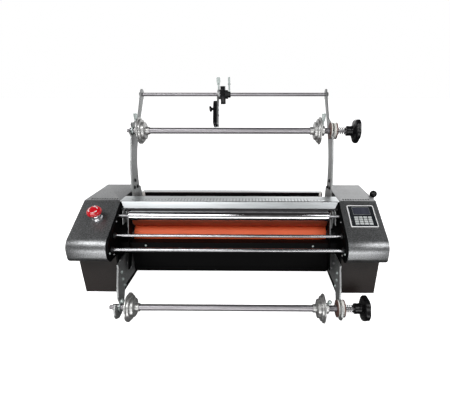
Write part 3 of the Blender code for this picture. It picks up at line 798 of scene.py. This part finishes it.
# ---------------------------------------------------------------- rolls
def make_rolls():
    for word, z, body in (("upper", UPPER_ROLL_Z, "upper_roll"), ("lower", LOWER_ROLL_Z, "lower_roll")):
        sleeve = lathe(bar_profile(-ROLL_FACE, ROLL_FACE, ROLL_R, 0.0125), 0.0016, ring=True, segments=128)
        show(f"{word}_sleeve", sleeve, "silicone", body, [f"{word}_roller"], along_x(ROLL_Y, z), 50)
        journal_r, core_r, shoulder = 0.010, 0.0122, 0.3150
        core = [
            (-0.388, 0), (-0.388, journal_r), (-shoulder, journal_r), (-shoulder, core_r), (shoulder, core_r),
            (shoulder, journal_r), (0.362, journal_r), (0.362, 0),
        ]
        show(f"{word}_core", lathe(core, 0.0008), "roller_steel", body, place=along_x(ROLL_Y, z))
    idler = lathe(bar_profile(-IDLER_FACE, IDLER_FACE, IDLER_R, 0.0045), 0.0010, ring=True, segments=128)
    show("idler_tube", idler, "chrome", "idler", ["chrome_idler"], along_x(*IDLER), 50)
    journal = lathe(bar_profile(-0.3535, 0.3535, IDLER_JOURNAL_R), 0.0008, segments=48)
    show("idler_journal", journal, "gear_steel", "idler", place=along_x(*IDLER))
    for word, (y, z, radius) in GUIDE_RODS.items():
        bar = lathe(bar_profile(-ROD_END, ROD_END, radius), 0.0006, segments=64)
        show(f"guide_rod_{word}", bar, "rod_steel", "chassis", [f"front_rod_{word}"], along_x(y, z))
        for hand, side in SIDES:
            boss = [(0.3420, 0), (0.3420, radius + 0.0035), (ROD_END, radius + 0.0045), (ROD_END, 0)]
            boss = lathe(boss, 0.0006, segments=48)
            place = Matrix.Translation((0, y, z)) @ OUTWARD[side]
            show(f"rod_boss_{word}_{hand}", boss, "black_plastic", "chassis", place=place)


def make_end_plates():
    """Bright front edges of the plates at the rolls' ends, and the brackets beside them."""
    for word, side in SIDES:
        low, high = sorted((side * 0.3186, side * 0.3204))
        strip = [(-0.0735, 0.2550), (-0.0758, 0.2550), (-0.1023, 0.1900), (-0.1000, 0.1900)]
        show(
            f"plate_edge_{word}", moved(plate([strip], low, high, 0.0003), SIDE_VIEW), "arm_steel", "chassis"
        )
        low, high = sorted((side * 0.3337, side * 0.3357))
        bracket = [(-0.0800, 0.2600), (-0.0980, 0.2190), (-0.0700, 0.2190), (-0.0640, 0.2600)]
        mesh = moved(
            plate([rounded(bracket, 0.003, True), ring_of(*IDLER, 0.0062)], low, high, 0.0005), SIDE_VIEW
        )
        show(f"idler_bracket_{word}", mesh, "arm_steel", "chassis")
        inner = side * FRAME_IN
        for index, (y, z, size) in enumerate(
            ((-0.1890, 0.1660, 0.0036), (-0.1640, 0.1500, 0.0030), (-0.110, 0.236, 0.0026))
        ):
            finish = "zinc" if index == 0 else "gear_steel"
            socket_screw(
                f"frame_screw_{word}_{index}", (inner, y, z), (-side, 0, 0), "chassis", size, 0.0026, finish
            )
        socket_screw(
            f"beam_screw_{word}", (side * 0.268, -0.104, 0.1505), (0, -1, 0), "chassis", 0.0036, 0.0026
        )


# ---------------------------------------------------------------- film arms
def make_arms():
    for word, side in SIDES:
        inner = side * ARM_IN[word]
        for index, (y, z) in enumerate(((-0.1609, 0.0858), (-0.1607, 0.0600), (-0.1557, 0.0350))):
            hex_bolt(
                f"lower_arm_bolt_{word}_{index}", (inner, y, z), (-side, 0, 0), "chassis", 0.0045, 0.0034
            )
        for index, (y, z) in enumerate(((-0.105, 0.090), (-0.085, 0.060))):
            hex_bolt(
                f"lower_foot_bolt_{word}_{index}", (inner, y, z), (-side, 0, 0), "chassis", 0.0045, 0.0034,
                "gear_steel",
            )
        for index, (y, z) in enumerate(((0.045, 0.300), (0.072, 0.296), (0.058, 0.322))):
            hex_bolt(
                f"upper_arm_bolt_{word}_{index}", (inner, y, z), (-side, 0, 0), "chassis", 0.0050, 0.0040,
                "black_plastic",
            )
        cap = lathe(
            [(-0.001, 0), (-0.001, 0.0078), (0.0045, 0.0078), (0.0060, 0.0050), (0.0060, 0)],
            0.0008,
            segments=40,
        )
        place = Matrix.Translation((side * ARM_OUT[word], *RAIL)) @ OUTWARD[side]
        show(f"rail_cap_{word}", cap, "black_plastic", "chassis", place=place)
    rail = lathe(bar_profile(-0.3425, 0.3480, RAIL_R), 0.0006, segments=64)
    show("rail_bar", rail, "steel_shaft", "chassis", ["slitter_rail"], along_x(*RAIL))


# ---------------------------------------------------------------- supply shafts
def chuck_wave(radius, angle):
    """Shallow scallops between the four jaws of each step, and none on the nose or hub."""
    if radius < 0.020:
        return 1.0
    dip = max(0.0, cos(4 * angle + pi / 4)) ** 3
    return 1.0 - 0.045 * dip


def make_chuck(word, hand, side, nose, y, z):
    body = f"{word}_{hand}_chuck"
    bore = SHAFT_BORE_R
    steps = [
        (0.0, bore), (0.0, 0.0127), (0.0112, 0.0130), (0.0126, 0.0165), (0.0130, 0.0280), (0.0142, 0.0293),
        (0.0205, 0.0296), (0.0216, 0.0300), (0.0222, 0.0365), (0.0234, 0.0383), (0.0276, 0.0386),
        (0.0287, 0.0392), (0.0293, 0.0432), (0.0303, 0.0450), (0.0334, 0.0450), (0.0344, 0.0432),
        (0.0332, 0.0330), (0.0340, 0.0200), (0.0365, 0.0168), (0.0478, 0.0162), (0.0478, bore),
    ]
    profile = [(nose + height, radius) for height, radius in steps]
    mesh = lathe(profile, 0.0016, ring=True, segments=128, wave=chuck_wave)
    turn = Matrix.Rotation(0.35, 4, "Z")
    place = Matrix.Translation((0, y, z)) @ OUTWARD[side] @ turn
    show(f"{word}_{hand}_chuck_cast", mesh, "cast_aluminium", body, [f"{word}_chuck_{hand}"], place, 38)
    hub = side * (nose + 0.0425)
    if word == "upper":
        wing_screw(f"{word}_{hand}_chuck_screw", hub, y, z + 0.0155, body, z + 0.0570, side * 0.25)
    else:
        head = [
            (-0.003, 0), (-0.003, 0.0030), (0.0060, 0.0030), (0.0066, 0.0056), (0.0095, 0.0070),
            (0.0150, 0.0068), (0.0172, 0.0042), (0.0172, 0),
        ]
        place = facing((hub, y, z + 0.0155), (side * 0.85, -0.25, 1.0))
        show(f"{word}_{hand}_chuck_screw", lathe(head, 0.0012, segments=40), "zinc", body, place=place)


def knob_wave(radius, angle):
    """Five lobes round the head, and none on the hub."""
    if radius < 0.024:
        return 1.0
    return 1.0 - 0.10 * (0.5 - 0.5 * cos(5 * angle + 0.5)) ** 1.5


def make_supply(word, y, z, left_end, noses, hub):
    """A supply shaft with its brake and chucks. noses and hub are distances out from the middle."""
    body = f"{word}_supply_shaft"
    tip = [(left_end, 0), (left_end, 0.0058), (left_end + 0.0100, 0.0060), (left_end + 0.0108, 0.0098)]
    right = [(0.3100, 0.0100), (0.3105, 0.0092), (0.3112, 0.0099)]
    thread = []
    x = 0.3120
    while x < 0.3315:
        thread += [(x, 0.0099), (x + 0.0008, 0.0090)]
        x += 0.0016
    end = [
        (0.3322, 0.0098), (0.3562, 0.0098), (0.3568, 0.0052), (hub + 0.0405, 0.0052), (hub + 0.0412, 0.0044),
        (hub + 0.0412, 0),
    ]
    bar = lathe(tip + [(left_end + 0.014, 0.0100)] + right + thread + end, 0.0003, segments=64)
    show(f"{word}_bar", bar, "steel_shaft", body, [f"{word}_shaft"], along_x(y, z))
    ring = lathe(bar_profile(-0.3330, -0.3290, 0.0150, 0.0104), 0.0005, ring=True)
    show(f"{word}_end_ring", ring, "zinc", body, place=along_x(y, z))

    for name, low, high, radius, finish, stands_for in (
        ("inner_brown", 0.3326, 0.3347, 0.0270, "fibre", ()),
        ("inner_white", 0.3349, 0.3389, 0.0266, "white_plastic", ()),
        ("outer_white", 0.3451, 0.3518, 0.0266, "white_plastic", (f"{word}_brake_disc",)),
        ("outer_brown", 0.3520, 0.3558, 0.0270, "fibre", ()),
    ):
        washer = lathe(bar_profile(low, high, radius, SHAFT_BORE_R), 0.0006, ring=True)
        show(f"{word}_washer_{name}", washer, finish, body, stands_for, along_x(y, z))
    turns, steps, start, stop, coil_r = 4.2, 150, 0.3575, hub - 0.0005, 0.0108
    coil = []
    for i in range(steps + 1):
        t = i / steps
        angle = 2 * pi * turns * t
        coil.append((start + (stop - start) * t, y + coil_r * cos(angle), z + coil_r * sin(angle)))
    show(f"{word}_brake_spring", tube(coil, 0.0010), "spring_steel", body)

    bore = 0.0055
    knob = [
        (hub, bore), (hub, 0.0138), (hub + 0.002, 0.0165), (hub + 0.014, 0.0158), (hub + 0.020, 0.0170),
        (hub + 0.024, 0.0250), (hub + 0.026, 0.0360), (hub + 0.031, 0.0405), (hub + 0.040, 0.0405),
        (hub + 0.0425, 0.0370), (hub + 0.043, 0.0230), (hub + 0.041, 0.0170), (hub + 0.0435, 0.0120),
        (hub + 0.0435, bore),
    ]
    mesh = lathe(knob, 0.0022, ring=True, segments=160, wave=knob_wave)
    show(f"{word}_knob_star", mesh, "gloss_black", f"{word}_brake_knob", [f"{word}_knob"], along_x(y, z), 50)
    for (hand, side), nose in zip(SIDES, noses):
        make_chuck(word, hand, side, nose, y, z)


# ---------------------------------------------------------------- slitter
def make_slitter():
    y, z = RAIL
    bore = ring_of(y, z, 0.0063)
    body = rounded(
        [
            (y - 0.0135, z - 0.0335), (y + 0.0135, z - 0.0335), (y + 0.0135, z + 0.0285),
            (y - 0.0135, z + 0.0285),
        ],
        0.003,
        True,
    )
    show(
        "clamp_block",
        moved(plate([body, bore], -0.0445, -0.0275, 0.0010), SIDE_VIEW),
        "gloss_black",
        "slitter_slide",
        ["slitter_clamp"],
    )
    teeth, wheel = 18, []
    for i in range(teeth):
        for radius, part in ((0.0152, 0.0), (0.0152, 0.5), (0.0138, 0.62), (0.0138, 0.88)):
            angle = 2 * pi * (i + part) / teeth
            wheel.append((y + radius * cos(angle), z + radius * sin(angle)))
    show(
        "clamp_wheel",
        moved(plate([wheel, bore], -0.0270, -0.0180, 0.0005), SIDE_VIEW),
        "black_plastic",
        "slitter_slide",
    )
    hub = lathe(
        [(-0.0178, 0.0064), (-0.0178, 0.0110), (-0.0100, 0.0110), (-0.0082, 0.0080), (-0.0082, 0.0064)],
        0.0008,
        ring=True,
    )
    show("clamp_hub", hub, "gloss_black", "slitter_slide", place=along_x(y, z))
    nose = rounded(
        [
            (y - 0.0135, z - 0.0250), (y - 0.0175, z - 0.0250), (y - 0.0190, z - 0.0060),
            (y - 0.0175, z + 0.0180), (y - 0.0135, z + 0.0200),
        ],
        0.003,
        True,
    )
    show(
        "clamp_front",
        moved(plate([nose], -0.0420, -0.0305, 0.0010), SIDE_VIEW),
        "gloss_black",
        "slitter_slide",
    )
    wing_screw("clamp_screw_left", -0.0515, y, z + 0.0160, "slitter_blade_arm", z + 0.0590, 0.2)
    wing_screw("clamp_screw_right", -0.0125, y - 0.002, z + 0.0100, "slitter_slide", z + 0.0590, 1.25)

    down = (Vector(UPPER_SHAFT) - Vector(RAIL)).normalized()
    across = Vector((-down.y, down.x))
    length = (Vector(UPPER_SHAFT) - Vector(RAIL)).length - 0.012

    def at(along, off):
        point = Vector(RAIL) + down * along + across * off
        return (point.x, point.y)

    head = arc(y, z, 0.0168, 0, 360, 36)[:-1]
    show(
        "arm_head",
        moved(plate([head, bore], -0.0558, -0.0457, 0.0010), SIDE_VIEW),
        "arm_steel",
        "slitter_blade_arm",
        ["slitter_arm"],
    )
    bar = [
        at(0.010, 0.0095), at(0.010, -0.0095), at(0.100, -0.0080), at(length - 0.014, -0.0080),
        at(length - 0.014, 0.0080), at(0.100, 0.0080),
    ]
    slant = Matrix.Identity(4)  # x moves with z, so the arm leans sideways
    slant[0][2], slant[0][3] = -0.10, 0.0565
    upright = slant @ SIDE_VIEW
    holes = [ring_of(*at(0.030, 0), 0.0025, 16)]
    show(
        "arm_bar",
        moved(plate([rounded(bar, 0.002, True)] + holes, -0.0545, -0.0500, 0.0006), upright),
        "arm_steel",
        "slitter_blade_arm",
    )
    top, low = 0.036, length - 0.012
    holder = [
        at(top, -0.002), at(top + 0.012, -0.0095), at(top + 0.030, -0.0130), at(low - 0.020, -0.0125),
        at(low, -0.0095), at(low, 0.0085), at(low - 0.020, 0.0105), at(top + 0.030, 0.0100), at(top, 0.0060),
    ]
    show(
        "blade_holder",
        moved(plate([rounded(holder, 0.006, True)], -0.0673, -0.0548, 0.0012), upright),
        "gloss_black",
        "slitter_blade_arm",
    )
    ridge = [
        at(top + 0.030, -0.0040), at(low - 0.012, -0.0040), at(low - 0.012, 0.0040), at(top + 0.030, 0.0040)
    ]
    show(
        "blade_clip",
        moved(plate([rounded(ridge, 0.002, True)], -0.0692, -0.0668, 0.0008), upright),
        "black_plastic",
        "slitter_blade_arm",
    )
    edge = [at(low - 0.010, -0.0050), at(low - 0.002, 0.0060), at(length, 0.0005), at(length, -0.0008)]
    show("blade", moved(plate([edge], -0.0613, -0.0607, 0.0001), upright), "zinc", "slitter_blade_arm")
    middle = at(0.081, -0.002)
    tee = lathe(
        [
            (0, 0), (0, 0.0045), (0.0060, 0.0045), (0.0075, 0.0092), (0.0130, 0.0100), (0.0145, 0.0070),
            (0.0145, 0),
        ],
        0.0012,
        segments=40,
    )
    show(
        "holder_knob",
        tee,
        "gloss_black",
        "slitter_blade_arm",
        place=slant @ facing((-0.0673, *middle), (-1, 0, 0)),
    )
    for index, along in enumerate((0.058, 0.086, 0.112)):
        socket_screw(
            f"arm_screw_{index}",
            slant @ Vector((-0.0500, *at(along, 0.0))),
            (1, 0, 0),
            "slitter_blade_arm",
            0.0034,
            0.0028,
            "gear_steel",
        )


# ---------------------------------------------------------------- controls
def make_panel():
    seat = slope_seat(PANEL_X, PANEL_DOWN)
    keys = (-0.0280, -0.0362, 0.0280, -0.0018)
    body = plate(
        [rounded_rect(-0.0395, -0.042, 0.0395, 0.042, 0.003), rounded_rect(*keys, 0.001)], 0.0, 0.0028, 0.0003
    )
    show("panel_body", body, "panel_film", "chassis", ["control_panel"], seat)
    show(
        "panel_tray",
        block((keys[0] - 0.001, keys[1] - 0.001, 0.0), (keys[2] + 0.001, keys[3] + 0.001, 0.0013), 0.0002),
        "panel_film",
        "chassis",
        place=seat,
    )
    frame_ring = plate(
        [
            rounded_rect(-0.0412, -0.0435, 0.0412, 0.0435, 0.004),
            rounded_rect(-0.0385, -0.0408, 0.0385, 0.0408, 0.0025),
        ],
        0.0,
        0.0036,
        0.0007,
    )
    show("panel_frame", frame_ring, "legend_white", "chassis", place=seat)
    rim = plate(
        [
            rounded_rect(-0.0270, 0.0050, 0.0265, 0.0355, 0.002),
            rounded_rect(-0.0260, 0.0060, 0.0255, 0.0345, 0.0015),
        ],
        0.0026,
        0.0031,
        0.0001,
    )
    show("display_rim", rim, "rim_plastic", "chassis", place=seat)
    glass = plate([rounded_rect(-0.0259, 0.0061, 0.0254, 0.0344, 0.0015)], 0.0024, 0.0030, 0.0001)
    show("display_glass", glass, "glass", "chassis", place=seat)


def make_stop():
    seat = slope_seat(ESTOP_X, ESTOP_DOWN)
    collar = [
        (0, 0), (0, 0.0160), (0.0030, 0.0165), (0.0050, 0.0150), (0.0070, 0.0135), (0.0150, 0.0128),
        (0.0170, 0.0115), (0.0170, 0),
    ]
    show("stop_bezel", lathe(collar, 0.0008), "chrome", "chassis", ["estop_collar"], seat)
    head = [
        (0.0217, 0), (0.0217, 0.0098), (0.0238, 0.0104), (0.0245, 0.0190), (0.0262, 0.0218), (0.0300, 0.0222),
        (0.0345, 0.0200), (0.0375, 0.0150), (0.0390, 0.0080), (0.0392, 0),
    ]
    show(
        "stop_head", lathe(head, 0.0030, segments=128), "red_plastic", "stop_button", ["estop_button"], seat,
        60,
    )
    arrow_r, arrow_z = 0.0125, 0.0384
    marks = []
    for start in (20, 140, 260):
        path = []
        for i in range(13):
            angle = radians(start + i * 5.5)
            path.append((arrow_r * cos(angle), arrow_r * sin(angle), arrow_z))
        marks.append(tube(path, 0.0009, 8))
        angle = radians(start + 78)
        tip = (arrow_r * cos(angle), arrow_r * sin(angle), arrow_z)
        way = (-sin(angle), cos(angle), 0)
        cone = lathe([(-0.004, 0), (-0.004, 0.0024), (0.002, 0.0003), (0.002, 0)], 0.0002, segments=20)
        marks.append(moved(cone, facing(tip, way)))
    show("stop_arrows", joined(marks), "legend_white", "stop_button", place=seat)


def make_lever():
    y, z = LEVER_PIVOT
    boss = lathe(
        [
            (COVER_OUT + GAP, 0), (COVER_OUT + GAP, 0.0150), (COVER_OUT + 0.0125, 0.0140),
            (COVER_OUT + 0.0140, 0.0110), (COVER_OUT + 0.0140, 0),
        ],
        0.0012,
    )
    shaft = lathe(bar_profile(0.3547, COVER_OUT + 0.010, 0.008), 0.0006, segments=48)
    show("lever_boss", joined([boss, shaft]), "gloss_black", "lever", ["pressure_lever"], along_x(y, z))
    path = [(0.479, y, z), (0.480, y, z + 0.030), (0.4830, y, z + 0.060), (0.4840, y, LEVER_BALL[2])]
    show("lever_bar", tube(path, 0.0045, 24), "steel_shaft", "lever")
    ball = [(-0.0120, 0), (-0.0115, 0.0045)]
    ball += [(0.012 * sin(radians(a)), 0.012 * cos(radians(a))) for a in range(-60, 90, 10)] + [(0.0120, 0)]
    show(
        "lever_ball",
        lathe(ball, 0.0004, segments=64),
        "gloss_black",
        "lever",
        place=Matrix.Translation(LEVER_BALL),
        crease=60,
    )


make_side_covers()
make_top_cover()
make_rear()
make_rolls()
make_end_plates()
make_arms()
make_supply("upper", *UPPER_SHAFT, -0.352, (0.2755, 0.2670), 0.3875)
make_supply("lower", *LOWER_SHAFT, -0.365, (0.2720, 0.2600), 0.3850)
make_slitter()
make_panel()
make_stop()
make_lever()
for word in ("left", "right"):
    ease_node(f"base_box_{word}", 0.0012)
    ease_node(f"side_frame_{word}", 0.0005)
    ease_node(f"upper_arm_{word}", 0.0006)
    ease_node(f"lower_arm_{word}", 0.0006)
    ease_node(f"pressure_block_{word}", 0.0006)
for node in ("front_beam", "guide_bar", "rear_top_bar", "rear_panel", "front_panel", "drive_motor"):
    ease_node(node, 0.0006)
for row in range(1, 5):
    for column in range(1, 5):
        ease_node(f"key_{row}_{column}", 0.0009, 3)


# ---------------------------------------------------------------- stage
def make_floor():
    low = CAD_BOUNDS[0][2]
    shape = bmesh.new()
    bmesh.ops.create_grid(shape, x_segments=1, y_segments=1, size=20.0)
    mesh = bpy.data.meshes.new("floor")
    shape.to_mesh(mesh)
    shape.free()
    floor = bpy.data.objects.new("floor", mesh)
    floor.location.z = low - 0.001
    floor.visible_diffuse = False
    floor.visible_glossy = False
    floor.visible_shadow = False
    bpy.context.scene.collection.objects.link(floor)
    paint = Paint("floor", 0.8, 0.0, Emission_Color=(1, 1, 1, 1), Emission_Strength=1.0)
    paint.colour(paint.ramp(paint.noise(3, detail=2), [(0.0, (0.90, 0.90, 0.90)), (1.0, (0.94, 0.94, 0.94))]))
    mesh.materials.append(paint.material)
    floor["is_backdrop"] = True


make_camera()
make_lights()
make_floor()


def corners(box):
    return [[float(number) for number in corner] for corner in box]


{"cad": corners(CAD_BOUNDS), "visual": corners(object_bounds())}
